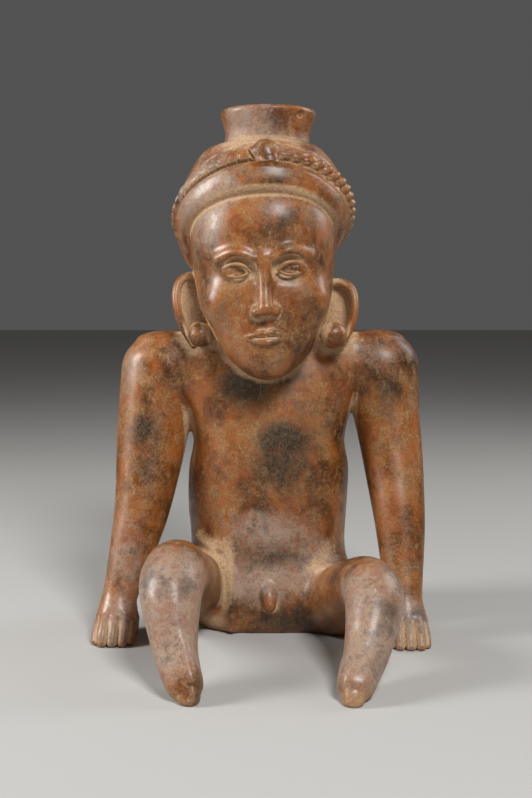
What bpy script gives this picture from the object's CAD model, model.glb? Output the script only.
import math

import bmesh
import bpy
import numpy as np
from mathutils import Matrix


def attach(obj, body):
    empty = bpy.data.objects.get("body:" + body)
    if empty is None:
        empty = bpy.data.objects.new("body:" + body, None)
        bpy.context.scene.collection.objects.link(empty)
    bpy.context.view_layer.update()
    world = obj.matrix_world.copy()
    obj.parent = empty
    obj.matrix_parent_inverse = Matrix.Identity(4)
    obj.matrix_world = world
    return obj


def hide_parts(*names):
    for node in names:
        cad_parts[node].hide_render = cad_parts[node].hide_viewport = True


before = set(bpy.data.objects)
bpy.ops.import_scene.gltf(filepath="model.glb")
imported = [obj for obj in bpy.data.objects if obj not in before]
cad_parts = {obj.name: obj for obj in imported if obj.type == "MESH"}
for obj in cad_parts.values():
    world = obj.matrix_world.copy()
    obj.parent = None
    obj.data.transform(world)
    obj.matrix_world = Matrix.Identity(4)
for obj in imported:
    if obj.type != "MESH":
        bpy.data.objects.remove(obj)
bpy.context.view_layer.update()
SCENE = bpy.context.scene

# A seated figural vessel of burnished red-brown earthenware. The shape is worked out here in millimetres,
# +Z up, with the torso on the Z axis and the figure facing -Y. MIDDLE moves it to the frame's origin.
# Each form is a function of place that is negative inside the clay and close to the distance in
# millimetres. Forms melt into each other as wet clay does, and one fine skin is then laid over them all.
MIDDLE = np.array([-2.774, -67.256, 0.0])
HEIGHT = 360.0
WALL = 7.0
TRIANGLES = 185000
SIDES = (-1, 1)
ACROSS, DEEP = (1.0, 0.0, 0.0), (0.0, 1.0, 0.0)

# Torso and neck: height, half-width, half-depth, middle x and y, roundness of the section.
TORSO = [
    (-6, 50, 45, 2.4, -3, 0.66), (0, 52, 47, 2.4, -3, 0.66), (7, 57, 52, 2.3, -2, 0.7),
    (26, 59, 54, 2.1, 0, 0.8), (54, 55.5, 47, 1.2, 0, 0.88), (80, 56.8, 43, 0.6, 0, 0.9),
    (108, 57.2, 42.5, 2.2, 0, 0.9), (130, 54.3, 42, 2.4, 0, 0.9), (152, 60.8, 40, 1.8, 1, 0.92),
    (176, 77, 36, 0.6, 2, 0.95), (191, 80, 32, 0.5, 2, 0.97), (200, 73, 30, 0.4, 1, 1),
    (207, 50, 29, 0.3, 0, 1), (214, 36, 28.5, 0.3, -1, 1), (226, 30.5, 28, 0.1, -3, 1),
    (240, 29.5, 28, 0, -5, 1),
]
NECK_TOP = 240.0

# Bare head: height, half-width, front, back. It ends level below and above, as does the room in it.
# No part of the head is lower than HEAD_FROM_Z, and none of its room lower than ROOM_FROM_Z.
HEAD_X = -1.3
HEAD_LEAN = math.radians(-2.2)
HEAD_PIVOT_Z = 250.0
HEAD_SQUARENESS = 0.88
HEAD = [
    (174, 5, -53, -42), (177, 11, -59, -36), (181, 18, -65.5, -22), (192, 29, -71, -4), (208, 38, -72.5, 16),
    (228, 45.5, -70.5, 34), (248, 49, -70, 43), (268, 50, -71.5, 47), (286, 48.5, -69, 46),
    (302, 42, -59, 40), (318, 28, -38, 26),
]
HEAD_FROM_Z, ROOM_FROM_Z = 165, 180
HEAD_ENDS = (175.5, 316.0)
HEAD_ROOM = (193.0, 305.0)

# Face: three equal thirds from the hairline to the chin, and five eye widths across.
CHIN_Z = 177.0
HAIRLINE_Z = 298.0
THIRD = (HAIRLINE_Z - CHIN_Z) / 3
EYE_WIDTH = 18.6
BROW_Z = HAIRLINE_Z - THIRD
EYE_Z = BROW_Z - THIRD / 4
NOSE_Z = BROW_Z - THIRD
MOUTH_Z = NOSE_Z - THIRD / 3
FACE_BOX = ((-50, -90, 172), (47, -25, 275))

# The cap's dome. It ends in a hem, high at the brow and low at the nape, and level at the crown.
CAP_MIDDLE = (HEAD_X + 1.2, 0.0, 284.5)
CAP_HALF = (60.6, 58.6, 64.5)
CAP_HEM = 7.0
CAP_TILT = math.radians(38)
CAP_CROWN_Z = 337.5

# Headband and cord: tilted oval rings, high on the brow and low at the nape, all above HEADDRESS_Z.
HEADDRESS_Z = 235.0
BAND = dict(x=0.0, y=-13.5, z=277.5, a=54.0, b=56.0, tilt=math.radians(33), roll=0.0)
CORD = dict(x=1.6, y=-1.0, z=286.0, a=60.2, b=60.5, tilt=math.radians(39), roll=math.radians(-2))

# The band's section: turn round the ring in degrees, half its thickness, half its height.
BAND_SECTION = [
    (0, 5.2, 6.4), (40, 5.0, 6.5), (140, 5.0, 6.5), (180, 5.2, 6.4), (210, 6.0, 8.6), (245, 6.8, 10.3),
    (270, 6.9, 10.5), (295, 6.8, 10.4), (330, 6.0, 8.8), (360, 5.2, 6.4),
]
BAND_TAPER = 0.28
# The cord is a rope of two strands, and over the brow a flat strap with slanted notches in its edges.
CORD_TURNS = 25
STRAND_RADIUS = 3.45
STRAND_OFFSET = 1.7
NOTCH_DEPTH = 0.9
NOTCH_WIDTH = 0.28
NOTCH_SLANT = 16
# Turn in degrees, the strap's share, half its thickness, half its height.
STRAP = [
    (0, 0, 4, 4), (150, 0, 4, 4), (168, 0, 4.2, 4), (204, 0.1, 4.4, 4.2), (220, 0.9, 4.2, 5.0),
    (255, 1, 4.2, 5.4), (266, 0.9, 4.2, 5.2), (286, 0.6, 4.2, 4.9), (305, 0.3, 4.1, 4.5),
    (325, 0.05, 4, 4), (360, 0, 4, 4),
]
# The upper edge of the cloth wrapped round the cap: turn in degrees, height over the cord.
WRAP_EDGE = [
    (0, 8), (60, 10), (120, 10), (180, 7.5), (200, 9), (262, 14), (285, 12.5), (330, 10), (360, 8),
]
WRAP_THICKNESS = 0.8
WRAP_GROOVE = 0.7

# Ears: side, height of the top and the bottom, size of the ball at the lobe.
EARS = ((-1, 247.0, 199.0, 8.6), (1, 238.8, 196.5, 9.3))

# Spout: height and outer radius, then height and bore. It leans a little to the viewer's right.
SPOUT_X = 0.4
SPOUT_LEAN = 0.055
SPOUT_LEAN_Z = 340.0
SPOUT_FROM_Z, SPOUT_FOOT_Z, BORE_FOOT_Z = 312.0, 316.0, 318.0
SPOUT = [
    (318, 31), (334, 30), (340, 29.4), (344, 29.5), (348, 30.6), (352, 32.1), (356, 33.2), (358.5, 33.2),
    (361, 32),
]
BORE = [(314, 22), (343, 22), (353, 24.5), (357.5, 26.5), (362, 28.5)]
# Flaws under and in the spout's lip: centre and half-sizes.
CHIPS = [
    ((26.5, -26, 354), (6, 5, 3.2)), ((36.5, -8, 357.5), (2.6, 6, 2.4)), ((20, -31.5, 351.5), (3, 3, 1.6)),
]

# Limbs as centre lines with a half-thickness at each point, from the body outwards.
RIGHT_ARM = [
    (-76.5, 2, 178, 27), (-79, -4, 150, 26), (-82, -14, 118, 23.5), (-87, -28, 84, 19.3),
    (-94, -42, 50, 14.8), (-101, -53, 24, 11.5),
]
LEFT_ARM = [
    (81.5, 2, 178.5, 27.5), (86, -4, 150, 24), (89.8, -14, 118, 21.2), (92, -30, 84, 18.5),
    (93.3, -46, 50, 14.6), (94, -60, 24, 11.8),
]
RIGHT_LEG = [
    (-46, -24, 28, 26), (-52, -48, 34, 23.5), (-55, -78, 46, 21.3), (-56, -112, 58, 20.5),
    (-57.5, -138, 52.5, 19.2), (-54.5, -157, 29, 14.6), (-50, -170.5, 15.8, 12.7), (-46, -179.3, 8.2, 11),
    (-43.8, -184.5, 4.6, 7.4),
]
LEFT_LEG = [
    (44, -24, 20, 25), (50, -48, 23, 24), (57.5, -76, 38, 19.6), (65, -110, 48.5, 18.8),
    (66.5, -133, 44, 18.2), (60, -157, 23.5, 14.2), (54.4, -171.5, 14, 12.8), (51.2, -181.5, 8, 11.2),
    (50, -186.4, 4.6, 7.6),
]
MEMBER = [(0.5, -43, 34, 5.2), (1.8, -54, 28.5, 5.4), (2.6, -58.5, 21.5, 4.4)]
# Flats on the shins: the way each faces, and how far out it lies as a share of the half-thickness.
RIGHT_FLATS = [((-0.24, -0.86, 0.45), 0.8), ((0.95, -0.28, 0.14), 0.86)]
LEFT_FLATS = [((0.05, -0.88, 0.47), 0.82), ((0.93, -0.33, 0.16), 0.9), ((-0.95, -0.28, 0.14), 0.88)]
FLATS_BEGIN, FLATS_FULL = 0.5, 0.72
# The fold of clay round the root of the right thigh, seen from the front: across and up. It lies to the
# viewer's left of FOLD_X, in front of FOLD_Y and below FOLD_TOP.
HIP_FOLD = [(-49, 62), (-39.5, 58), (-31, 51), (-25, 40), (-22, 27), (-22, 15), (-24, 4)]
FOLD_HEIGHT, FOLD_WIDTH = 3.8, 4.2
FOLD_X, FOLD_Y, FOLD_TOP = -5, -15, 72
# Hands: the heel and the fingertips, each across and deep, and the width.
HANDS = (((-99.5, -41), (-102, -82), 28.5), ((93.5, -48), (94.5, -89), 28.5))
FINGERS = 5
FINGER_FAN = 1.2
# A finger from knuckle to tip: along the hand, how far spread, height, share of the drop, how much thinner.
FINGER = [
    (0.5, 0.7, 16.2, 1, 0.2), (0.68, 0.76, 15, 1, 0), (0.86, 0.79, 9, 0.7, 0.1), (0.965, 0.8, 2.6, 0, 0.4),
]

# How wide the fillet is where each form meets the clay that carries it.
FILLET = dict(
    chin=9, cheek=12, brow=6, socket=5, eye=1.6, lid=0.7, nose=5, wing=1.6, nostril=0.6, lips=1.6,
    lip=0.4, mouth=0.5, groove=1.5, cap=1.5, band=1.6, cord=0.9, flap=3.0, knot=2.0, crack=0.6,
    plate=2.5, rim=1.6, stem=1.4, ball=0.9, palm=7, row=3.0, finger=0.2, member=2.5, head=3.5,
    spout=1.8, spout_lip=2.6, chip=0.8, flat=3, strand=0.8, skull=4, bore=2, edge=0.8,
)
# Further away than matters, and how near the outside a place has to be for the hollow to matter.
FAR, NEAR = 60.0, 12.0


def smooth(rows, count):
    """Evenly spaced stations along a smooth line through rows of numbers."""
    rows = np.asarray(rows, float)
    line = np.vstack([2 * rows[0] - rows[1], rows, 2 * rows[-1] - rows[-2]])
    t = np.linspace(0, len(rows) - 1, count)
    i = np.minimum(t.astype(int), len(rows) - 2)
    f = (t - i)[:, None]
    before, here, after, beyond = line[i], line[i + 1], line[i + 2], line[i + 3]
    leave, arrive = (after - before) / 2, (beyond - here) / 2
    bend = (2 * f**3 - 3 * f**2 + 1) * here + (f**3 - 2 * f**2 + f) * leave
    return bend + (3 * f**2 - 2 * f**3) * after + (f**3 - f**2) * arrive


def melt(a, b, k):
    """Two forms joined with a fillet about k wide, and left alone away from their surfaces."""
    least = np.minimum(a, b)
    h = np.maximum(k - np.abs(a - b), 0) / k
    return least - 0.25 * k * h * h * np.clip(1.25 - least / k, 0, 1)


def cut(a, b, k):
    """The first form less the second, with an edge about k wide."""
    return -melt(-a, b, k)


def step(x, low, high):
    """0 below low, 1 above high and smooth between."""
    t = np.clip((x - low) / (high - low), 0, 1)
    return t * t * (3 - 2 * t)


def ball(x, y, z, centre, half):
    """An ellipsoid."""
    u, v, w = ((c - m) / h for c, m, h in zip((x, y, z), centre, half))
    k = np.sqrt(u * u + v * v + w * w) + 1e-6
    slope = np.sqrt((u / half[0]) ** 2 + (v / half[1]) ** 2 + (w / half[2]) ** 2) + 1e-6
    return (k - 1) * k / slope


def oval(u, v, a, b, power):
    """How far a flat place is from the middle of an oval, as a share of the oval's size, and its slope."""
    u, v = np.abs(u) / a, np.abs(v) / b
    k = (u**power + v**power) ** (1 / power) + 1e-6
    return k, (u / k) ** (power - 1) / a, (v / k) ** (power - 1) / b


def read(at, table):
    """The table's other columns, read off at places down its first."""
    places, *columns = np.transpose(table)
    return [np.interp(at, places, column) for column in columns]


def loft(x, y, z, table):
    """A stack of ovals. The table's columns are height, half-width, half-depth, middle x, middle y, power."""

    def at(height):
        a, b, mx, my, power = read(height, table)
        return oval(x - mx, y - my, a, b, power)

    k, across, deep = at(z)
    rise = (at(z + 0.6)[0] - k) / 0.6 / np.maximum(k, 1)
    return (k - 1) / np.sqrt(across**2 + deep**2 + rise**2 + 1e-9)


class Limb:
    """A smooth line with a thickness at each point, round, or wider to one side, or with flats cut on it."""

    def __init__(self, rows, aside=None, wide=1.0, flats=()):
        rows = np.asarray(rows, float)
        self.coarse = smooth(rows, 3 * (len(rows) - 1) + 1)
        self.fine = smooth(rows, 240)
        self.aside = aside
        self.wide = wide
        self.flats = flats
        reach = rows[:, 3:4] * max(1.0, wide) + 3
        self.low, self.high = (rows[:, :3] - reach).min(0), (rows[:, :3] + reach).max(0)

    def nearest(self, x, y, z):
        """How far along the line's nearest point is, the way from there, and the half-thickness there."""
        nearest = np.full(x.shape, 1e9, x.dtype)
        along = np.zeros_like(x)
        stops = len(self.coarse) - 1
        for i in range(stops):
            a, b = self.coarse[i], self.coarse[i + 1]
            d = b[:3] - a[:3]
            px, py, pz = x - a[0], y - a[1], z - a[2]
            t = np.clip((px * d[0] + py * d[1] + pz * d[2]) / (d @ d), 0, 1)
            px, py, pz = px - t * d[0], py - t * d[1], pz - t * d[2]
            gap = np.sqrt(px * px + py * py + pz * pz) - (a[3] + t * (b[3] - a[3]))
            closer = gap < nearest
            nearest[closer] = gap[closer]
            along[closer] = (i + t[closer]) / stops
        places = np.linspace(0, 1, len(self.fine))
        line = np.column_stack([places, self.fine])
        turns = np.column_stack([places, np.gradient(self.fine, places, axis=0)])
        for _ in range(2):
            cx, cy, cz = read(along, line[:, :4])
            dx, dy, dz = read(along, turns[:, :4])
            push = ((x - cx) * dx + (y - cy) * dy + (z - cz) * dz) / (dx * dx + dy * dy + dz * dz)
            along = np.clip(along + push, 0, 1)
        cx, cy, cz, r = read(along, line)
        return along, x - cx, y - cy, z - cz, r

    def __call__(self, x, y, z):
        along, px, py, pz, r = self.nearest(x, y, z)
        full = px * px + py * py + pz * pz
        if self.aside is None:
            d = np.sqrt(full) - r
            for (nx, ny, nz), share in self.flats:
                kept = share + (1.3 - share) * (1 - step(along, FLATS_BEGIN, FLATS_FULL))
                d = cut(d, kept * r - (px * nx + py * ny + pz * nz), FILLET["flat"])
            return d
        out = px * self.aside[0] + py * self.aside[1] + pz * self.aside[2]
        rest = np.maximum(full - out * out, 0)
        wide = r * self.wide
        k = np.sqrt(out * out / wide**2 + rest / r**2) + 1e-6
        return (k - 1) * k / (np.sqrt(out * out / wide**4 + rest / r**4) + 1e-6)


def torso_table(inset):
    """The torso's ovals, or those of its inside, held in by whatever narrows within a wall above."""
    rows = smooth(TORSO, 400)
    z, a, b, x, y, roundness = rows.T
    if inset:
        a = np.array([a[(z >= h) & (z <= h + inset)].min() for h in z])
    return np.column_stack([z, a - inset, b - inset, x, y, 2 / roundness])


def turned(rows):
    """A turned form's height, radius and slope at even stations."""
    z, r = smooth(rows, 80).T
    return np.column_stack([z, r, np.gradient(r, z)])


def head_table(inset):
    """The bare head's ovals, or those of its inside."""
    rows = smooth(HEAD, 300)
    z, a, front, back = rows.T
    power = np.full(len(z), 2 / HEAD_SQUARENESS)
    half, deep = np.maximum(a - inset, 1), np.maximum((back - front) / 2 - inset, 1)
    return np.column_stack([z, half, deep, np.full(len(z), HEAD_X), (front + back) / 2, power])


TORSO_OUT, TORSO_IN = torso_table(0), torso_table(WALL)
HEAD_OUT, HEAD_IN = head_table(0), head_table(WALL)
SPOUT_OUT, SPOUT_IN = turned(SPOUT), turned(BORE)

# How far beyond a form's own box it is still asked about.
REACH = 3.0


def within(place, low, high):
    """Which places lie in a box or within REACH of it."""
    inside = np.ones(place[0].shape, bool)
    for c, least, most in zip(place, low, high):
        inside &= (c > least - REACH) & (c < most + REACH)
    return inside


def some(d, place, chosen, change):
    """d with change made to it in the chosen places only."""
    if chosen.any():
        d[chosen] = change(d[chosen], *(c[chosen] for c in place))
    return d


def joined(d, place, form, name, way=melt, chosen=None):
    """d with a form melted on to it, or cut out of it, in the chosen places or in the form's own box."""
    if chosen is None:
        chosen = within(place, form.low, form.high)
    return some(d, place, chosen, lambda v, x, y, z: way(v, form(x, y, z), FILLET[name]))


# The face's round forms: half-sizes across, deep and up.
ROUND = dict(
    chin=(13, 9.5, 10.5), cheek=(13, 13, 11), socket=(13.5, 4.6, 8.6), eye=(9.8, 5.4, 5.2),
    wing=(3.9, 5.2, 3.9), nostril=(1.7, 2.6, 1.9), groove=(1.9, 2.4, 4.5),
)
WING_OUT, NOSTRIL_OUT = 5.6, 3.4
# An eyelid from its inner to its outer corner: along, share of its rise, forward, share of its thickness.
LID = [
    (-1, 0, -0.2, 0.6), (-0.55, 0.78, 0.7, 1), (0, 1, 1.0, 1), (0.55, 0.74, 0.7, 1), (1, 0.06, -0.2, 0.6),
]
LID_SLANT = 0.5
# Upper and lower lid: rise, half-thickness, how far it stands out.
LID_PAIR = [(4.6, 1.25, 0.9), (-3.7, 1.05, 0.6)]


def face_y(x, z):
    """How far forward the bare face lies at a place across and up the head."""
    a, b, mx, my, power = read(z, HEAD_OUT)
    return my - b * max(0.0, 1 - (abs(x) / a) ** power) ** (1 / power)


def on_face(points):
    """A limb along points laid on the face, each standing out by its own amount."""
    return Limb([(HEAD_X + x, face_y(x, z) - out, z, r) for x, z, out, r in points])


def both_ways(z, points):
    """A limb across the face, the same to both sides. Points are across, up from z, out and thickness."""
    half = [(x, z + up, out, r) for x, up, out, r in points]
    return on_face([(-x, height, out, r) for x, height, out, r in half[:0:-1]] + half)


def lid(side, rise, r, lift):
    """The edge of an eyelid."""
    half = EYE_WIDTH / 2
    return on_face([
        (side * (EYE_WIDTH + half * t), EYE_Z + rise * up + LID_SLANT * t, out + lift, r * thick)
        for t, up, out, thick in LID
    ])


def brow(side):
    return on_face([
        (side * 8, BROW_Z - 3, 0.5, 3.4), (side * 18, BROW_Z + 1.5, 1.0, 3.4),
        (side * 30, BROW_Z - 1.5, 0, 2.8),
    ])


BROWS = {side: brow(side) for side in SIDES}
LIDS = [lid(side, *shape) for side in SIDES for shape in LID_PAIR]
NOSE = on_face([
    (0, BROW_Z - 2, -1.2, 4.0), (0, BROW_Z - 13, 0.8, 3.9), (0, NOSE_Z + 15, 3.0, 4.3),
    (0, NOSE_Z + 5.5, 6.2, 5.2),
])
UPPER_LIP = both_ways(MOUTH_Z, [
    (0, 2.6, 1.2, 2.3), (2.2, 3.1, 1.1, 2.3), (7, 2.0, 0.4, 2.0), (13.5, 0.3, -0.8, 1.0),
])
LOWER_LIP = both_ways(MOUTH_Z, [(0, -3.2, 1.0, 2.9), (6, -2.6, 0.4, 2.2), (11.5, -1.0, -0.8, 1.0)])
MOUTH_LINE = both_ways(MOUTH_Z, [(0, -0.1, 3.8, 0.65), (7, -0.3, 3.0, 0.6), (14.5, 0.4, 0.8, 0.45)])


def features(d, x, y, z):
    """The bare head with a face: chin, cheeks, brows, sockets, eyes, lids, nose, lips and mouth."""

    def lump(d, name, out, y_middle, z_middle, way=melt):
        centre = (HEAD_X + out, y_middle, z_middle)
        return way(d, ball(x, y, z, centre, ROUND[name]), FILLET[name])

    d = lump(d, "chin", 0, -61.5, 187.5)
    front = face_y(EYE_WIDTH, EYE_Z)
    for side in SIDES:
        d = lump(d, "cheek", side * 27, -50.5, 228)
        d = melt(d, BROWS[side](x, y, z), FILLET["brow"])
        d = lump(d, "socket", side * (EYE_WIDTH - 1), front - 3.0, EYE_Z, cut)
        d = lump(d, "eye", side * EYE_WIDTH, front + 4.6, EYE_Z + 0.3)
    for edge in LIDS:
        d = melt(d, edge(x, y, z), FILLET["lid"])
    d = melt(d, NOSE(x, y, z), FILLET["nose"])
    for side in SIDES:
        d = lump(d, "wing", side * WING_OUT, face_y(WING_OUT, NOSE_Z + 3) - 2.3, NOSE_Z + 3.4)
        d = lump(d, "nostril", side * NOSTRIL_OUT, face_y(NOSTRIL_OUT, NOSE_Z) - 5.0, NOSE_Z - 0.2, cut)
    d = melt(d, melt(UPPER_LIP(x, y, z), LOWER_LIP(x, y, z), FILLET["lip"]), FILLET["lips"])
    d = cut(d, MOUTH_LINE(x, y, z), FILLET["mouth"])
    return lump(d, "groove", 0, face_y(0, MOUTH_Z + 8) - 2.0, MOUTH_Z + 8.2, cut)


def in_ring(x, y, z, ring):
    """A place in the frame of a tilted head ring: across, deep and up from the ring's plane."""
    x, y, z = x - HEAD_X - ring["x"], y - ring["y"], z - ring["z"]
    c, s = math.cos(ring["roll"]), math.sin(ring["roll"])
    x, z = x * c - z * s, x * s + z * c
    c, s = math.cos(ring["tilt"]), math.sin(ring["tilt"])
    return x, y * c - z * s, y * s + z * c


def round_ring(x, y, z, ring):
    """The turn round a ring in degrees, 0 at the viewer's right and 270 at the front, how far out and up."""
    x, y, z = in_ring(x, y, z, ring)
    turn = np.arctan2(y / ring["b"], x / ring["a"])
    c, s = np.cos(turn), np.sin(turn)
    return np.degrees(turn) % 360, (x - ring["a"] * c) * c + (y - ring["b"] * s) * s, z


def pad(out, up, wide, tall, power):
    """A section with rounded corners, by how far out and up a place is from its middle."""
    k, across, deep = oval(out, up, wide, tall, power)
    return (k - 1) / np.sqrt(across**2 + deep**2 + 1e-9)


def band(x, y, z):
    """The padded headband, drawn in towards its lower edge."""
    turn, out, up = round_ring(x, y, z, BAND)
    wide, tall = read(turn, BAND_SECTION)
    return pad(out + BAND_TAPER * np.clip(-up, -3, 11), up, wide, tall, 2.5)


def cord(x, y, z):
    """The cord behind the band: two twisted strands that flatten into the strap over the brow."""
    turn, out, up = round_ring(x, y, z, CORD)
    spin = np.radians(turn) * CORD_TURNS
    cx, cz = STRAND_OFFSET * np.cos(spin), STRAND_OFFSET * np.sin(spin)
    one = np.sqrt((out - cx) ** 2 + (up - cz) ** 2) - STRAND_RADIUS
    two = np.sqrt((out + cx) ** 2 + (up + cz) ** 2) - STRAND_RADIUS
    rope = melt(one, two, FILLET["strand"])
    share, wide, tall = read(turn, STRAP)
    notch = np.abs(np.sin(np.radians(turn * CORD_TURNS - up * NOTCH_SLANT)))
    notch = NOTCH_DEPTH * np.exp(-((notch / NOTCH_WIDTH) ** 2)) * step(np.abs(up), 0.6, 2.6)
    strap = pad(out - 0.6, up - 0.3, wide, tall, 3.2) + notch
    return rope * (1 - share) + strap * share


def cap(x, y, z, inset=0.0):
    """The cap's dome, with the soft edge of the cloth wrapped round it, or with an inset its inside."""
    dome = ball(x, y, z, CAP_MIDDLE, tuple(half - inset for half in CAP_HALF))
    if not inset:
        lx, ly, lz = in_ring(x, y, z, CORD)
        turn = np.degrees(np.arctan2(ly, lx)) % 360
        edge = read(turn, WRAP_EDGE)[0] + 0.6 * np.sin(np.radians(turn) * 7)
        dome = dome + WRAP_GROOVE * np.exp(-(((lz - edge) / 1.3) ** 2))
        dome = dome - WRAP_THICKNESS * step(edge - lz, -0.5, 2.5)
    c, s = math.cos(CAP_TILT), math.sin(CAP_TILT)
    height = (y - CAP_MIDDLE[1]) * s + (z - (CAP_MIDDLE[2] - CAP_HEM)) * c
    return cut(cut(dome, height - inset, 1.0), CAP_CROWN_Z - inset - z, 7)


# The lump over the brow, the crack beside it, and the flap that hangs at the viewer's left.
KNOT = Limb([(1.8, -42, 328, 7.0), (2.6, -47.5, 324.8, 8.8), (4.4, -52, 319.4, 6.4)], ACROSS, 1.1)
CRACK = Limb([(-11, -44, 332, 0.5), (-8.6, -49.5, 326.5, 1.2), (-4.6, -54, 320, 1.5), (2.5, -56.5, 316, 1.3)])
FLAP = Limb([(-58.8, 2, 274, 3.4), (-56.6, 3, 265, 3.0), (-53.8, 4, 257, 2.6), (-50.2, 5, 251, 2.2)])


class Ear:
    """A C-shaped flap round a flat recess, with a ball on a stem at its lobe."""

    def __init__(self, side, top, bottom, size):
        def at(out, y, down, r):
            return (HEAD_X + side * out, y, top + (bottom - top) * down, r)

        self.rim = Limb([
            at(42, -12, 0.04, 2.4), at(53, -16, 0.01, 2.8), at(60, -20, 0.13, 3), at(61.5, -24, 0.38, 3),
            at(58.3, -27, 0.7, 2.9), at(51, -29, 1, 2.6),
        ], DEEP, 1.8)
        self.ball = at(45, -38, 0.85, size)[:3]
        self.ball_half = (size, size + 0.2, size - 0.2)
        self.stem = Limb([at(48, -14, 0.8, 5.2), at(46.5, -26, 0.83, 5.6), at(45, -38, 0.85, 5.6)])
        self.plate = at(49, -10, 0.5, 0)[:3]
        self.plate_half = (14, 5, 0.54 * (top - bottom))
        self.low = np.minimum(self.rim.low, np.array(self.ball) - 10)
        self.high = np.maximum(self.rim.high, np.array(self.ball) + 10)
        self.low[0] = min(self.low[0], self.plate[0] - 16)
        self.high[0] = max(self.high[0], self.plate[0] + 16)

    def add(self, d, x, y, z):
        """d with the ear melted on to it."""
        d = melt(d, ball(x, y, z, self.plate, self.plate_half), FILLET["plate"])
        d = melt(d, self.rim(x, y, z), FILLET["rim"])
        d = melt(d, self.stem(x, y, z), FILLET["stem"])
        return melt(d, ball(x, y, z, self.ball, self.ball_half), FILLET["ball"])


EAR_PARTS = [Ear(*ear) for ear in EARS]


def lean(x, y, z):
    """A place in the head's own upright frame."""
    c, s = math.cos(HEAD_LEAN), math.sin(HEAD_LEAN)
    x, z = x - HEAD_X, z - HEAD_PIVOT_Z
    return x * c - z * s + HEAD_X, y, x * s + z * c + HEAD_PIVOT_Z


def head(x, y, z):
    """The head with its face, headdress and ears."""
    place = x, y, z = lean(x, y, z)
    d = cut(cut(loft(x, y, z, HEAD_OUT), z - HEAD_ENDS[0], 3), HEAD_ENDS[1] - z, 3)
    d = some(d, place, within(place, *FACE_BOX), features)
    d = melt(d, cap(x, y, z), FILLET["cap"])
    d = joined(d, place, band, "band", chosen=z > HEADDRESS_Z)
    d = joined(d, place, cord, "cord", chosen=z > HEADDRESS_Z)
    d = joined(d, place, FLAP, "flap")
    d = joined(d, place, KNOT, "knot")
    d = joined(d, place, CRACK, "crack", cut)
    for ear in EAR_PARTS:
        d = some(d, place, within(place, ear.low, ear.high), ear.add)
    return d


def lathe(x, y, z, profile):
    """A turned form about the spout's axis, endless up and down."""
    radius = np.sqrt((x - SPOUT_X - SPOUT_LEAN * (z - SPOUT_LEAN_Z)) ** 2 + y * y)
    r, slope = read(z, profile)
    return (radius - r) / np.sqrt(1 + slope * slope)


def add_spout(d, x, y, z):
    """d with the spout melted on to it, its lip chipped."""
    pipe = cut(lathe(x, y, z, SPOUT_OUT), HEIGHT - z, FILLET["spout_lip"])
    for centre, half in CHIPS:
        pipe = cut(pipe, ball(x, y, z, centre, half), FILLET["chip"])
    return melt(d, cut(pipe, z - SPOUT_FOOT_Z, 1), FILLET["spout"])


class Hand:
    """A palm, five fingers in a row flat on the floor, and the clay that joins them."""

    def __init__(self, heel, tips, width):
        def at(along, across, z, r):
            x, y = (heel[i] + (tips[i] - heel[i]) * along for i in (0, 1))
            return (x + across * width / 2, y, z, r)

        palm = [at(0.1, 0, 15, 8.5), at(0.3, 0, 14.5, 11.5), at(0.46, 0, 12.5, 13.0), at(0.6, 0, 9.0, 9.6)]
        self.palm = Limb(palm, ACROSS, 1.12)
        self.web = Limb([at(0.5, 0, 6, 8.2), at(0.75, 0, 1.6, 4.4), at(0.9, 0, -1.5, 2.6)], ACROSS, 1.8)
        self.fingers = []
        for i in range(FINGERS):
            turn = 2 * i / (FINGERS - 1) - 1
            across = math.sin(FINGER_FAN * turn) / math.sin(FINGER_FAN)
            # The outer fingers start further back and lower, and are thinner.
            back, drop, r = 0.1 * turn**4, 2.4 * turn**4, 3.7 - 0.5 * turn**4
            self.fingers.append(Limb([
                at(along - back, spread * across, z - share * drop, r - thinner)
                for along, spread, z, share, thinner in FINGER
            ]))
        self.low = np.minimum(self.palm.low, self.web.low) - (10, 5, 5)
        self.high = np.maximum(self.palm.high, self.web.high) + (9, 3, 9)

    def add(self, d, x, y, z):
        """d with the hand melted on to it."""
        d = melt(d, self.palm(x, y, z), FILLET["palm"])
        row = self.web(x, y, z)
        for finger in self.fingers:
            row = melt(row, finger(x, y, z), FILLET["finger"])
        return melt(d, row, FILLET["row"])


HAND_PARTS = [Hand(*hand) for hand in HANDS]
MEMBER_PART = Limb(MEMBER)
# Each limb, its fillet, and how much wider the fillet grows between two heights.
LIMBS = [
    (Limb(RIGHT_ARM), 6, 8, 150, 180), (Limb(LEFT_ARM), 3, 11, 164, 186),
    (Limb(RIGHT_LEG, flats=RIGHT_FLATS), 6, 0, 0, 1), (Limb(LEFT_LEG, flats=LEFT_FLATS), 11, 0, 0, 1),
]


def waver(x, y, z):
    """The slow unevenness of a form shaped by hand, with none up or down at the floor and the spout's lip."""
    low = step(z, 0, 30)
    dx = 0.45 * np.sin(z / 21 + 1.3) * np.cos(y / 33 + 0.4) + 0.2 * np.sin(z / 9.7 + x / 23)
    dy = 0.4 * np.sin(z / 26 + x / 31 + 2.1) + 0.2 * np.cos(x / 12.5 + z / 17)
    dz = 0.4 * np.sin(x / 19 + y / 27 + 0.7) * low
    return x + dx, y + dy * low, z + dz * step(HEIGHT - z, 0, 14)


def add_hip_fold(d, x, y, z):
    """d raised along the fold round the right thigh's root."""
    gap = np.full(x.shape, FAR, x.dtype)
    for (ax, az), (bx, bz) in zip(HIP_FOLD, HIP_FOLD[1:]):
        dx, dz = bx - ax, bz - az
        t = np.clip(((x - ax) * dx + (z - az) * dz) / (dx * dx + dz * dz), 0, 1)
        gap = np.minimum(gap, np.hypot(x - ax - t * dx, z - az - t * dz))
    return d - FOLD_HEIGHT * np.exp(-((gap / FOLD_WIDTH) ** 2)) * step(-y, 15, 30)


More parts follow.
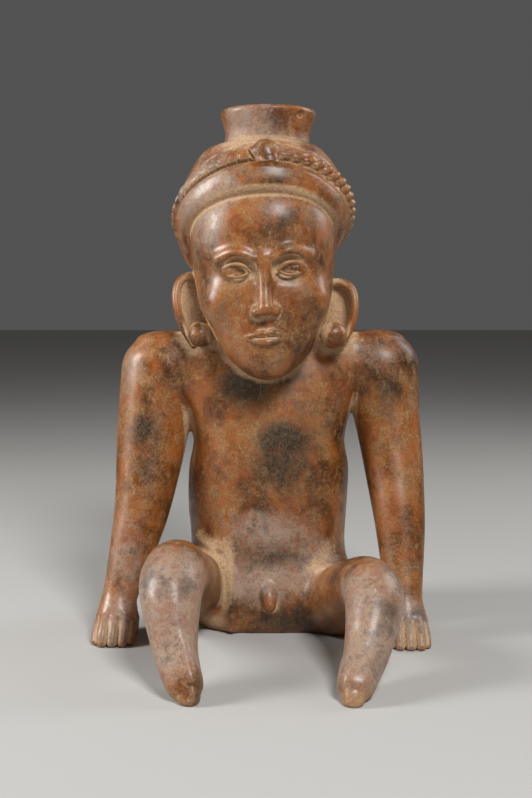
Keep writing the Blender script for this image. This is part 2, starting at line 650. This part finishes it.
def outside(x, y, z):
    """The vessel's outside, as if it were solid."""
    place = (x, y, z)
    d = np.full(x.shape, FAR, x.dtype)
    d = some(d, place, z < NECK_TOP + 12 + REACH, lambda v, x, y, z: loft(x, y, z, TORSO_OUT))
    d = some(d, place, (z < FOLD_TOP) & (y < FOLD_Y) & (x < FOLD_X), add_hip_fold)
    d = some(d, place, z > NECK_TOP - 4, lambda v, x, y, z: np.maximum(v, z - NECK_TOP))
    for limb, fillet, more, low, high in LIMBS:

        def add_limb(v, x, y, z):
            return melt(v, limb(x, y, z), fillet + more * step(z, low, high))

        reach = fillet + more
        d = some(d, place, within(place, limb.low - reach, limb.high + reach), add_limb)
    for hand in HAND_PARTS:
        d = some(d, place, within(place, hand.low, hand.high), hand.add)
    d = joined(d, place, MEMBER_PART, "member")
    d = joined(d, place, head, "head", chosen=z > HEAD_FROM_Z - REACH)
    return some(d, place, z > SPOUT_FROM_Z, add_spout)


def inside(x, y, z):
    """The hollow of the torso, neck, head and spout."""

    def torso_room(v, x, y, z):
        return cut(loft(x, y, z, TORSO_IN), z - WALL, 3)

    def skull(v, x, y, z):
        x, y, z = lean(x, y, z)
        room = cut(cut(loft(x, y, z, HEAD_IN), z - HEAD_ROOM[0], 3), HEAD_ROOM[1] - z, 3)
        return melt(v, melt(room, cap(x, y, z, WALL), 3), FILLET["skull"])

    def bore(v, x, y, z):
        return melt(v, cut(lathe(x, y, z, SPOUT_IN), z - BORE_FOOT_Z, 1), FILLET["bore"])

    place = (x, y, z)
    d = np.full(x.shape, FAR, x.dtype)
    d = some(d, place, z < NECK_TOP + 12, torso_room)
    d = some(d, place, z > ROOM_FROM_Z, skull)
    return some(d, place, z > SPOUT_FROM_Z, bore)


def clay(x, y, z):
    """The whole vessel: the outside less the hollow, standing on the floor."""
    floor = z
    place = x, y, z = waver(x, y, z)
    d = outside(x, y, z)
    d = some(d, place, d < NEAR, lambda v, x, y, z: cut(v, inside(x, y, z), FILLET["edge"]))
    return cut(d, floor, FILLET["edge"])


def in_parts(form, points, size=300000):
    """The form at many places, a part at a time."""
    result = np.empty(len(points), np.float32)
    for i in range(0, len(points), size):
        x, y, z = (np.ascontiguousarray(c, np.float32) for c in points[i:i + size].T)
        result[i:i + size] = form(x, y, z)
    return result


# Cells along a block's side, and half the diagonal of a block as a share of its side.
BLOCK = 6
HALF_DIAGONAL = 0.87


def sample(form, low, high, pitch):
    """The form on a grid, worked out finely only in the blocks that the surface passes through."""
    global REACH
    low, high = np.array(low, float), np.array(high, float)
    blocks = np.ceil((high - low) / (pitch * BLOCK)).astype(int)
    ticks = [np.arange(n) * BLOCK for n in blocks]
    corner = np.stack(np.meshgrid(*ticks, indexing="ij"), -1).reshape(-1, 3)
    usual, REACH = REACH, 12.0
    rough = in_parts(form, low + pitch * (corner + (BLOCK - 1) / 2))
    REACH = usual
    crossed = np.abs(rough) < pitch * BLOCK * HALF_DIAGONAL * 1.35 + 1.5
    grid = np.repeat(np.repeat(np.repeat(rough.reshape(blocks), BLOCK, 0), BLOCK, 1), BLOCK, 2)
    inner = np.stack(np.meshgrid(*[np.arange(BLOCK)] * 3, indexing="ij"), -1).reshape(-1, 3)
    places = (corner[crossed][:, None, :] + inner[None]).reshape(-1, 3)
    values = in_parts(form, low + pitch * places)
    shape = (blocks[0], BLOCK, blocks[1], BLOCK, blocks[2], BLOCK)
    view = grid.reshape(shape).transpose(0, 2, 4, 1, 3, 5)
    view[crossed.reshape(blocks)] = values.reshape(-1, BLOCK, BLOCK, BLOCK)
    return grid, low


CORNERS = [(i, j, k) for i in (0, 1) for j in (0, 1) for k in (0, 1)]
EDGES = [(a, b) for a in range(8) for b in range(a + 1, 8) if b - a in (1, 2, 4) and not a & (b - a)]


def sheets():
    """For each way a cell's corners can be in or out, which sheet of surface crosses each of its edges."""
    table = np.full((256, 12), -1)
    for case in range(256):
        full = [case >> c & 1 for c in range(8)]
        sheet = {e: e for e, (a, b) in enumerate(EDGES) if full[a] != full[b]}

        def connect(p, q):
            old, new = sheet[p], sheet[q]
            sheet.update({e: new for e in sheet if sheet[e] == old})

        for bit in (1, 2, 4):
            for side in (0, bit):
                edges = [e for e in sheet if EDGES[e][0] & bit == side and EDGES[e][1] & bit == side]
                if len(edges) == 2:
                    connect(*edges)
                elif edges:
                    for c in range(8):
                        if full[c] and c & bit == side:
                            connect(*[e for e in edges if c in EDGES[e]])
        names = sorted(set(sheet.values()))
        for e, name in sheet.items():
            table[case, e] = names.index(name)
    return table


SHEETS = sheets()


def side_by_side(axis, rest=slice(None)):
    """Where in a grid each cell is, and where the next one along an axis is."""
    first, second = [rest] * 3, [rest] * 3
    first[axis], second[axis] = slice(None, -1), slice(1, None)
    return tuple(first), tuple(second)


def surface(grid, low, pitch):
    """Points and four-sided faces of the surface where the grid's values change sign."""
    solid = grid < 0
    some_in, all_in = solid, solid
    for axis in range(3):
        first, second = side_by_side(axis)
        some_in = some_in[first] | some_in[second]
        all_in = all_in[first] & all_in[second]
    cells = some_in & ~all_in
    place = np.stack(np.nonzero(cells), -1)
    number = np.full(cells.shape, -1, np.int32)
    number[cells] = np.arange(len(place))
    values = np.stack([grid[tuple((place + c).T)] for c in CORNERS], -1)
    case = ((values < 0) << np.arange(8)).sum(1)
    sheet = SHEETS[case]
    amount = sheet.max(1) + 1
    begin = np.cumsum(amount) - amount
    total = np.zeros((amount.sum(), 3))
    count = np.zeros(amount.sum())
    for e, (a, b) in enumerate(EDGES):
        crossed = sheet[:, e] >= 0
        va, vb = values[crossed, a], values[crossed, b]
        row = begin[crossed] + sheet[crossed, e]
        along = np.subtract(CORNERS[b], CORNERS[a])
        total[row] += np.array(CORNERS[a]) + (va / (va - vb))[:, None] * along
        count[row] += 1
    points = low + pitch * (np.repeat(place, amount, 0) + total / count[:, None])
    faces = []
    for axis in range(3):
        first, second = side_by_side(axis, slice(1, -1))
        here, there = solid[first], solid[second]
        i, j, k = np.nonzero(here != there)
        spot = np.stack([i, j, k], -1) + 1
        spot[:, axis] -= 1
        outward = here[i, j, k]
        bits = (4, 2, 1)
        u, v = (axis + 1) % 3, (axis + 2) % 3
        ring = []
        for du, dv in ((-1, -1), (0, -1), (0, 0), (-1, 0)):
            cell = spot.copy()
            cell[:, u] += du
            cell[:, v] += dv
            row = number[tuple(cell.T)]
            corner = -du * bits[u] - dv * bits[v]
            ring.append(begin[row] + sheet[row, EDGES.index((corner, corner + bits[axis]))])
        ring = np.stack(ring, -1)
        ring[~outward] = ring[~outward][:, ::-1]
        faces.append(ring)
    return points, np.concatenate(faces)


def slopes(form, points, h=0.25):
    """The form's value and direction of steepest rise at each point."""
    value = in_parts(form, points)
    rise = np.stack([in_parts(form, points + h * np.eye(3)[i]) - value for i in range(3)], -1) / h
    return value, rise


def settle(form, points, limit):
    """The points moved onto the surface by no more than the limit."""
    value, rise = slopes(form, points)
    steep = np.maximum((rise**2).sum(-1), 0.3)
    move = -(value / steep)[:, None] * rise
    length = np.linalg.norm(move, axis=-1, keepdims=True)
    return points + move * np.minimum(1, limit / np.maximum(length, 1e-6))


def placed(name, data):
    """A new object in the scene."""
    new = bpy.data.objects.new(name, data)
    SCENE.collection.objects.link(new)
    return new


def make_mesh(name, points, faces):
    mesh = bpy.data.meshes.new(name)
    mesh.vertices.add(len(points))
    mesh.vertices.foreach_set("co", np.ascontiguousarray(points, np.float32).ravel())
    sides = faces.shape[1]
    mesh.loops.add(faces.size)
    mesh.loops.foreach_set("vertex_index", np.ascontiguousarray(faces, np.int32).ravel())
    mesh.polygons.add(len(faces))
    mesh.polygons.foreach_set("loop_start", np.arange(0, faces.size, sides, dtype=np.int32))
    mesh.update(calc_edges=True)
    mesh.validate()
    return mesh


def thinned(mesh, triangles):
    """The mesh collapsed to about that many triangles, fewest where it's smooth."""
    obj = placed("thinning", mesh)
    change = obj.modifiers.new("thin", "DECIMATE")
    change.ratio = min(1.0, triangles / (2 * len(mesh.polygons)))
    change.use_collapse_triangulate = True
    bpy.context.view_layer.update()
    done = bpy.data.meshes.new_from_object(obj.evaluated_get(bpy.context.evaluated_depsgraph_get()))
    bpy.data.objects.remove(obj)
    edit = bmesh.new()
    edit.from_mesh(done)
    unseen = set(edit.verts)
    parts = []
    while unseen:
        part, fresh = set(), {unseen.pop()}
        while fresh:
            part |= fresh
            fresh = {e.other_vert(v) for v in fresh for e in v.link_edges} - part
        unseen -= part
        parts.append(part)
    largest = max(parts, key=len)
    bmesh.ops.delete(edit, geom=[v for v in edit.verts if v not in largest], context="VERTS")
    edit.to_mesh(done)
    edit.free()
    return done


PITCH = 1.1
grid, start = sample(clay, (-120, -204, -4), (120, 68, 364), PITCH)
points, faces = surface(grid, start, PITCH)
del grid
dense = make_mesh("dense", points, faces)
skin = thinned(dense, TRIANGLES)
bpy.data.meshes.remove(dense)
skin.name = "figure"

count = len(skin.vertices)
points = np.empty(count * 3, np.float32)
skin.vertices.foreach_get("co", points)
points = points.reshape(-1, 3).astype(float)
for limit in (0.5, 0.3):
    points = settle(clay, points, limit)
points[:, 2] = np.clip(points[:, 2], 0, HEIGHT)
normals = slopes(clay, points)[1]
normals /= np.maximum(np.linalg.norm(normals, axis=-1, keepdims=True), 1e-6)

# How hemmed in each point is, from the room over it at some distances, each with its weight.
hemmed = np.zeros(count)
for reach, weight in ((1.5, 0.3), (3.5, 0.3), (7.0, 0.25), (12.0, 0.15)):
    room = in_parts(clay, points + reach * normals)
    hemmed += weight * np.clip((reach - room) / reach, 0, 1)
# How sharply the surface turns away from each point, from the clay a little way under it.
RIDGE_DEPTH = 2.2
ridge = np.clip((in_parts(clay, points - RIDGE_DEPTH * normals) + RIDGE_DEPTH) / RIDGE_DEPTH, 0, 1)

skin.vertices.foreach_set("co", ((points - MIDDLE) / 1000).astype(np.float32).ravel())
skin.update()


def near_to(centre, size):
    """1 at the centre, fading to nothing about a size away."""
    gap = (points - np.array(centre)) / np.array(size)
    return np.exp(-(gap**2).sum(-1))


def cover(patches):
    """How fully patches cover each point."""
    bare = np.ones(count)
    for *place, amount in patches:
        bare *= 1 - amount * near_to(place[:3], place[3:])
    return 1 - bare


# Dark mineral clouds: centre, spread across, deep and up, and amount.
CLOUDS = [
    (12, -42, 132, 22, 30, 17, 1.0), (-2, -42, 108, 22, 30, 12, 0.55), (-84, -30, 140, 9, 22, 12, 0.9),
    (-84, -40, 112, 12, 22, 9, 0.45), (86, -30, 168, 14, 26, 12, 0.75), (84, -30, 150, 9, 22, 10, 0.45),
    (10, -46, 52, 26, 26, 9, 0.6), (72, -150, 44, 11, 14, 11, 0.8), (-52, -150, 58, 17, 16, 8, 0.55),
    (-46, -50, 260, 12, 22, 16, 0.55), (-20, -70, 236, 16, 16, 14, 0.4),
    (30, -66, 230, 12, 14, 14, 0.5), (-15, -38, 170, 26, 26, 16, 1.0), (14, -42, 179, 28, 26, 9, 0.8),
    (-28, -62, 214, 14, 18, 18, 0.45), (62, -30, 150, 9, 16, 18, 0.55),
    (-58, -46, 285, 10, 20, 12, 0.35), (-6, -62, 308, 16, 12, 7, 0.5), (-92, -60, 60, 10, 16, 16, 0.3),
    (16, -50, 11, 32, 18, 11, 0.9), (-42, -60, 28, 9, 18, 18, 0.5), (42, -64, 20, 14, 20, 14, 0.6),
    (-12, -46, 50, 14, 16, 12, 0.4), (-42, -48, 90, 12, 20, 40, 0.3), (20, -46, 118, 18, 26, 26, 0.5),
    (60, -90, 40, 14, 16, 12, 0.4), (-88, -20, 118, 14, 30, 48, 0.35), (90, -24, 110, 14, 30, 50, 0.25),
    (10, 40, 120, 34, 26, 40, 0.5), (-30, 45, 260, 26, 26, 22, 0.45),
]
# Earth left in hollows and on the worn ends: the same.
EARTHY = [
    (-50, -20, 224, 12, 12, 24, 0.9), (48, -20, 218, 12, 12, 22, 0.9), (-40, -44, 60, 12, 18, 7, 0.8),
    (-54, -26, 66, 12, 20, 7, 0.6), (58, -20, 60, 10, 24, 8, 0.6), (-26, -46, 44, 7, 18, 28, 0.8),
    (34, -44, 46, 14, 16, 7, 0.4), (47, -42, 57, 14, 16, 6, 0.75), (-101, -80, 8, 22, 14, 14, 0.35),
    (95, -86, 8, 22, 14, 16, 0.5), (-45, -186, 2, 18, 14, 12, 0.5), (50, -190, 2, 18, 14, 12, 0.55),
    (-30, -48, 300, 26, 18, 9, 0.45), (20, -58, 300, 28, 14, 5, 0.35), (-25, -32, 335, 24, 16, 7, 0.6),
    (4, -34, 330, 40, 16, 7, 0.4), (-34, -50, 7, 20, 14, 7, 0.6), (22, -30, 335, 22, 16, 7, 0.35),
    (-26, -30, 204, 20, 20, 14, 0.55), (34, -30, 204, 18, 20, 14, 0.6),
    (-54, -160, 34, 12, 20, 30, 0.3), (56, -168, 26, 12, 20, 26, 0.4),
]
# Paler, greyer clay where the slip has worn thin: the same.
WORN = [
    (-57, -140, 55, 26, 36, 26, 1.0), (66, -136, 46, 28, 36, 24, 0.9), (-52, -160, 26, 24, 26, 30, 1.0),
    (57, -166, 22, 24, 28, 30, 1.0), (-94, -44, 50, 16, 30, 36, 0.6), (95, -80, 14, 20, 20, 20, 0.9),
    (-101, -74, 12, 20, 20, 20, 0.6), (0, -46, 72, 40, 20, 18, 0.65), (-6, -48, 34, 40, 18, 18, 0.75),
    (40, -44, 52, 20, 16, 14, 0.7), (-42, -60, 278, 14, 30, 24, 0.7), (-34, -58, 302, 24, 20, 14, 0.7),
    (-95, -10, 178, 14, 30, 22, 0.5), (80, -20, 186, 26, 26, 16, 0.4),
    (-16, -28, 346, 20, 20, 16, 0.85), (0, -16, 326, 60, 50, 30, 0.45),
    (-50, -36, 298, 26, 30, 26, 0.5),
]
# The arms are burnished less: centre and spread.
DULL_ARMS = [((-86, -25, 108), (24, 45, 62)), ((92, -30, 104), (24, 45, 62))]
dull = np.maximum(*(near_to(*arm) for arm in DULL_ARMS))

# A line of earth along the band's lower edge, at the front.
_, out, up = round_ring(*lean(*points.T), BAND)
hem = np.exp(-(((up + 9.5) / 2.6) ** 2) - ((out - 2) / 8) ** 2) * (points[:, 1] < -20)
earth = 1 - (1 - cover(EARTHY)) * (1 - 0.75 * hem)

# The way the burnishing strokes run: down the torso and the head, along each limb and level round the
# spout. Distances that way are shortened to this share, less so on the head.
SHORT = 0.35
HEAD_SHORT = 0.8
SPOUT_STROKES_Z = 334
x, y, z = points.T
on_head = z > HEADDRESS_Z
down = z * np.where(on_head, HEAD_SHORT, SHORT) + np.where(on_head, 0, HEADDRESS_Z * (HEAD_SHORT - SHORT))
flow = np.column_stack([x, y, down])
trunk = loft(x, y, z, TORSO_OUT)
for limb, *_ in LIMBS:
    along, px, py, pz, r = limb.nearest(x, y, z)
    run = limb.fine[-1, :3] - limb.fine[0, :3]
    length = np.linalg.norm(np.diff(limb.fine[:, :3], axis=0), axis=1).sum()
    lying = np.stack([px, py, pz], -1) + (SHORT * length * along)[:, None] * run / np.linalg.norm(run)
    share = step(trunk - (np.sqrt(px**2 + py**2 + pz**2) - r), -5, 5)[:, None] * (z < 200)[:, None]
    flow = flow * (1 - share) + (lying + limb.fine[0, :3] * (1, 1, SHORT)) * share
flow = np.where((z > SPOUT_STROKES_Z)[:, None], points * (SHORT, SHORT, 1.4), flow)


def attribute(name, values, kind="FLOAT", field="value"):
    layer = skin.attributes.new(name, kind, "POINT")
    layer.data.foreach_set(field, np.ascontiguousarray(values, np.float32).ravel())


attribute("flow", flow / 1000, "FLOAT_VECTOR", "vector")
attribute("hollow", np.clip(hemmed, 0, 1))
attribute("dull", dull)
attribute("pale", cover(WORN))
attribute("ridge", ridge)
attribute("dark", cover(CLOUDS))
attribute("earth", earth)

piece = placed("figure", skin)
skin.polygons.foreach_set("use_smooth", np.ones(len(skin.polygons), bool))
skin.normals_split_custom_set_from_vertices(normals.astype(np.float32))


class Nodes:
    """A material's nodes, made and linked by short calls."""

    def __init__(self, name):
        self.material = bpy.data.materials.new(name)
        self.material.use_nodes = True
        self.tree = self.material.node_tree
        self.shader = self.tree.nodes["Principled BSDF"]
        self.place = self.tree.nodes.new("ShaderNodeTexCoord").outputs["Object"]

    def link(self, value, socket):
        if isinstance(value, bpy.types.NodeSocket):
            self.tree.links.new(value, socket)
        elif isinstance(value, tuple) and len(value) == 3 and socket.type == "RGBA":
            socket.default_value = (*value, 1)
        else:
            socket.default_value = value

    def node(self, kind, **inputs):
        """A new node with some of its inputs linked or set. An underline in a name stands for a space."""
        node = self.tree.nodes.new("ShaderNode" + kind)
        for name, value in inputs.items():
            self.link(value, node.inputs[name.replace("_", " ")])
        return node

    def attribute(self, name, output="Fac"):
        node = self.node("Attribute")
        node.attribute_name = name
        return node.outputs[output]

    def maths(self, operation, a, b, clamp=False):
        node = self.node("Math")
        node.operation = operation
        node.use_clamp = clamp
        self.link(a, node.inputs[0])
        self.link(b, node.inputs[1])
        return node.outputs[0]

    def total(self, *terms, clamp=False):
        """The sum of terms, each a value or a value and its weight."""
        terms = [self.maths("MULTIPLY", *term) if isinstance(term, tuple) else term for term in terms]
        result = terms[0]
        for number, term in enumerate(terms[1:], 2):
            result = self.maths("ADD", result, term, clamp and number == len(terms))
        return result

    def stretch(self, scale, turn=(0.0, 0.0, 0.0)):
        return self.node("Mapping", Vector=self.place, Scale=scale, Rotation=turn).outputs[0]

    def noise(self, scale, detail=3.0, roughness=0.5, distortion=0.0, place=None):
        return self.node(
            "TexNoise", Vector=place or self.place, Scale=scale, Detail=detail, Roughness=roughness,
            Distortion=distortion,
        ).outputs["Fac"]

    def cells(self, scale, feature="F1", place=None):
        node = self.node("TexVoronoi", Vector=place or self.place, Scale=scale)
        node.feature = feature
        return node.outputs["Distance"]

    def spread(self, value, low, high, to_low=0.0, to_high=1.0):
        """The value with the span from low to high made to run smoothly from to_low to to_high."""
        node = self.node("MapRange", Value=value, From_Min=low, From_Max=high, To_Min=to_low, To_Max=to_high)
        node.interpolation_type = "SMOOTHSTEP"
        return node.outputs["Result"]

    def ramp(self, value, stops):
        node = self.node("ValToRGB", Fac=value)
        elements = node.color_ramp.elements
        while len(elements) < len(stops):
            elements.new(0.5)
        for element, (position, colour) in zip(elements, stops):
            element.position = position
            element.color = (*colour, 1)
        return node.outputs["Color"]

    def mix(self, share, a, b):
        node = self.node("Mix")
        node.data_type = "RGBA"
        self.link(share, node.inputs["Factor"])
        self.link(a, node.inputs[6])
        self.link(b, node.inputs[7])
        return node.outputs[2]

    def bump(self, height, strength, distance, normal=None):
        node = self.node("Bump", Height=height, Strength=strength, Distance=distance)
        if normal is not None:
            self.link(normal, node.inputs["Normal"])
        return node.outputs["Normal"]


# Red slip, from deep brown to orange.
SLIP = [
    (0.36, (0.036, 0.013, 0.004)), (0.45, (0.120, 0.036, 0.006)), (0.51, (0.240, 0.064, 0.008)),
    (0.56, (0.340, 0.095, 0.011)), (0.66, (0.165, 0.066, 0.018)),
]
# Bare pale clay under the worn slip: tan, mauve, grey and rubbed red.
BARE_CLAY = [
    (0.34, (0.130, 0.105, 0.090)), (0.43, (0.255, 0.170, 0.130)), (0.50, (0.390, 0.275, 0.195)),
    (0.56, (0.310, 0.165, 0.112)), (0.62, (0.340, 0.245, 0.190)),
]
# A thin earthy film, soot, and earth, each from its darker to its lighter colour.
FILM = ((0.210, 0.092, 0.026), (0.400, 0.220, 0.088))
SOOT = ((0.014, 0.009, 0.005), (0.082, 0.060, 0.034))
EARTH = ((0.440, 0.270, 0.145), (0.640, 0.430, 0.260))
GREY_BLOTS = (0.066, 0.058, 0.044)
RED_BLOTS = (0.290, 0.068, 0.016)
RUBBED = (0.410, 0.215, 0.088)
PALE_SPECKS = (0.430, 0.255, 0.115)
DARK_SPECKS = (0.045, 0.024, 0.012)
SCRATCHES = (0.480, 0.320, 0.200)


def burnished_clay():
    """Worn red-brown slip with dark clouds, earth in the hollows, and a soft burnish."""
    n = Nodes("burnished_clay")
    flow = n.attribute("flow", "Vector")
    patches = n.noise(24, 5, 0.62, 0.25)
    streaks = n.noise(75, 6, 0.62, 0.4, flow)
    mottle = n.noise(90, 8, 0.7, 0.4)
    fibres = n.noise(240, 8, 0.78, 1.6)
    grain = n.noise(620, 5, 0.7)

    colour = n.ramp(n.total((patches, 0.6), (streaks, 0.4)), SLIP)
    # The film, gathered in fibres and specks.
    film = n.spread(n.total((mottle, 0.5), (patches, 0.3), (fibres, 0.55)), 0.60, 0.78, 0, 0.85)
    colour = n.mix(film, colour, n.mix(n.spread(grain, 0.35, 0.65), *FILM))
    # Bare clay where the slip is worn.
    worn = n.total((n.attribute("pale"), 0.80), (fibres, 0.55), (mottle, 0.45))
    worn = n.spread(worn, 0.66, 1.02, 0, 0.95)
    colour = n.mix(worn, colour, n.ramp(n.noise(52, 8, 0.74, 0.15), BARE_CLAY))
    # Dark mineral clouds, and small grey and red blots.
    cloud = n.total((n.attribute("dark"), 0.85), (n.noise(70, 9, 0.75, 0.2), 0.9), (fibres, 0.45))
    soot = n.mix(n.spread(fibres, 0.44, 0.6), *SOOT)
    colour = n.mix(n.spread(cloud, 0.84, 1.46, 0, 0.95), colour, soot)
    greys = n.total(n.noise(46, 8, 0.76, 0.15), (fibres, 0.8))
    colour = n.mix(n.spread(greys, 0.96, 1.16, 0, 0.85), colour, GREY_BLOTS)
    reds = n.total(n.noise(38, 7, 0.72, 0.2, n.stretch((1.1, 0.9, 1.0))), (grain, 0.4))
    colour = n.mix(n.spread(reds, 0.72, 0.92, 0, 0.6), colour, RED_BLOTS)
    # Earth in the hollows and on the worn ends.
    crust = n.total((n.attribute("hollow"), 1.4), (n.attribute("earth"), 0.9), (mottle, 0.5), (fibres, 0.5))
    crust = n.spread(crust, 0.78, 1.25, 0, 0.92)
    colour = n.mix(crust, colour, n.mix(n.spread(grain, 0.3, 0.7), *EARTH))
    # Paler clay rubbed bare on sharp turns.
    rubbed = n.total(n.attribute("ridge"), (fibres, 0.5))
    colour = n.mix(n.spread(rubbed, 0.66, 0.98, 0, 0.6), colour, RUBBED)
    # Fine specks and thin scratches.
    colour = n.mix(n.spread(n.noise(1500, 3, 0.6), 0.57, 0.68, 0, 0.45), colour, PALE_SPECKS)
    colour = n.mix(n.spread(n.noise(1150, 3, 0.6), 0.57, 0.68, 0, 0.6), colour, DARK_SPECKS)
    lines = n.cells(1, "DISTANCE_TO_EDGE", n.stretch((150, 150, 38), (0.35, 0.5, 0.2)))
    scratch = n.maths("MULTIPLY", n.spread(lines, 0.0, 0.018, 1, 0), n.spread(mottle, 0.5, 0.62, 0, 0.5))
    n.link(n.mix(scratch, colour, SCRATCHES), n.shader.inputs["Base Color"])

    # Earth, film and wear are matt, and take the burnish away.
    matt = n.total((crust, 0.9), (film, 0.35), (worn, 0.2), clamp=True)
    gritty = n.spread(grain, 0.4, 0.7)
    rough = n.total(n.spread(mottle, 0.35, 0.7, 0.36, 0.50), (matt, 0.34), (gritty, 0.08), clamp=True)
    n.link(rough, n.shader.inputs["Roughness"])
    n.shader.inputs["Specular IOR Level"].default_value = 0.3
    gloss = n.spread(patches, 0.40, 0.62, 0.35, 0.9)
    gloss = n.total(gloss, (n.attribute("dull"), -0.5), (matt, -0.8), clamp=True)
    n.link(gloss, n.shader.inputs["Coat Weight"])
    n.shader.inputs["Coat Roughness"].default_value = 0.3

    # Burnishing strokes, soft lumps, small pits, and grit most of all where earth lies.
    normal = n.bump(n.noise(230, 3, 0.5, 0, flow), 0.35, 0.0006)
    normal = n.bump(n.noise(180, 4, 0.6), 0.35, 0.0008, normal)
    normal = n.bump(n.spread(n.cells(420), 0.08, 0.22), 0.25, 0.0004, normal)
    grit = n.maths("MULTIPLY", grain, n.maths("ADD", crust, 0.25))
    n.link(n.bump(grit, 0.5, 0.0007, normal), n.shader.inputs["Normal"])
    return n.material


skin.materials.clear()
skin.materials.append(burnished_clay())

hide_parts("figural_vessel")
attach(piece, "root")

# The pale floor, half its width in metres, and the studio round it.
FLOOR_HALF = 6
FLOOR_COLOUR = (0.47, 0.46, 0.44, 1)
corners = [(-1, -1, 0), (1, -1, 0), (1, 1, 0), (-1, 1, 0)]
floor_mesh = make_mesh("floor", FLOOR_HALF * np.array(corners, float), np.array([[0, 1, 2, 3]]))
floor = placed("floor", floor_mesh)
paper = Nodes("paper")
paper.shader.inputs["Base Color"].default_value = FLOOR_COLOUR
paper.shader.inputs["Roughness"].default_value = 0.9
floor_mesh.materials.append(paper.material)

world = bpy.data.worlds.new("studio")
world.use_nodes = True
background = world.node_tree.nodes["Background"].inputs
background["Color"].default_value = (0.78, 0.78, 0.78, 1)
background["Strength"].default_value = 0.11
SCENE.world = world
SCENE.view_settings.view_transform = "Standard"

# Softboxes: name, place, width and height in metres, power in watts. All face the figure's middle.
SOFTBOXES = [
    ("side", (-1.05, -0.1, 0.66), 0.3, 0.5, 12),
    ("front", (0.4, -0.95, 1.2), 0.4, 0.4, 19),
    ("rear", (0.9, 0.5, 0.8), 0.4, 0.7, 4),
]
AIM = (0, 0.03, 0.2)
for name, place, width, height, power in SOFTBOXES:
    lamp = bpy.data.lights.new(name, "AREA")
    lamp.shape = "RECTANGLE"
    lamp.size, lamp.size_y = width, height
    lamp.energy = power
    holder = placed(name, lamp)
    holder.location = place
    x, y, z = (AIM[i] - place[i] for i in range(3))
    holder.rotation_euler = (math.atan2(math.hypot(x, y), -z), 0, math.atan2(y, x) - math.pi / 2)

# The camera's place in the figure's millimetres, and how far it looks down.
CAMERA = (0, -822, 235)
CAMERA_DOWN = 5.42
lens = bpy.data.cameras.new("camera")
lens.lens = 51.9
lens.sensor_width = 36
camera = placed("camera", lens)
camera.location = (np.array(CAMERA) - MIDDLE) / 1000
camera.rotation_euler = (math.radians(90 - CAMERA_DOWN), 0, 0)
SCENE.camera = camera
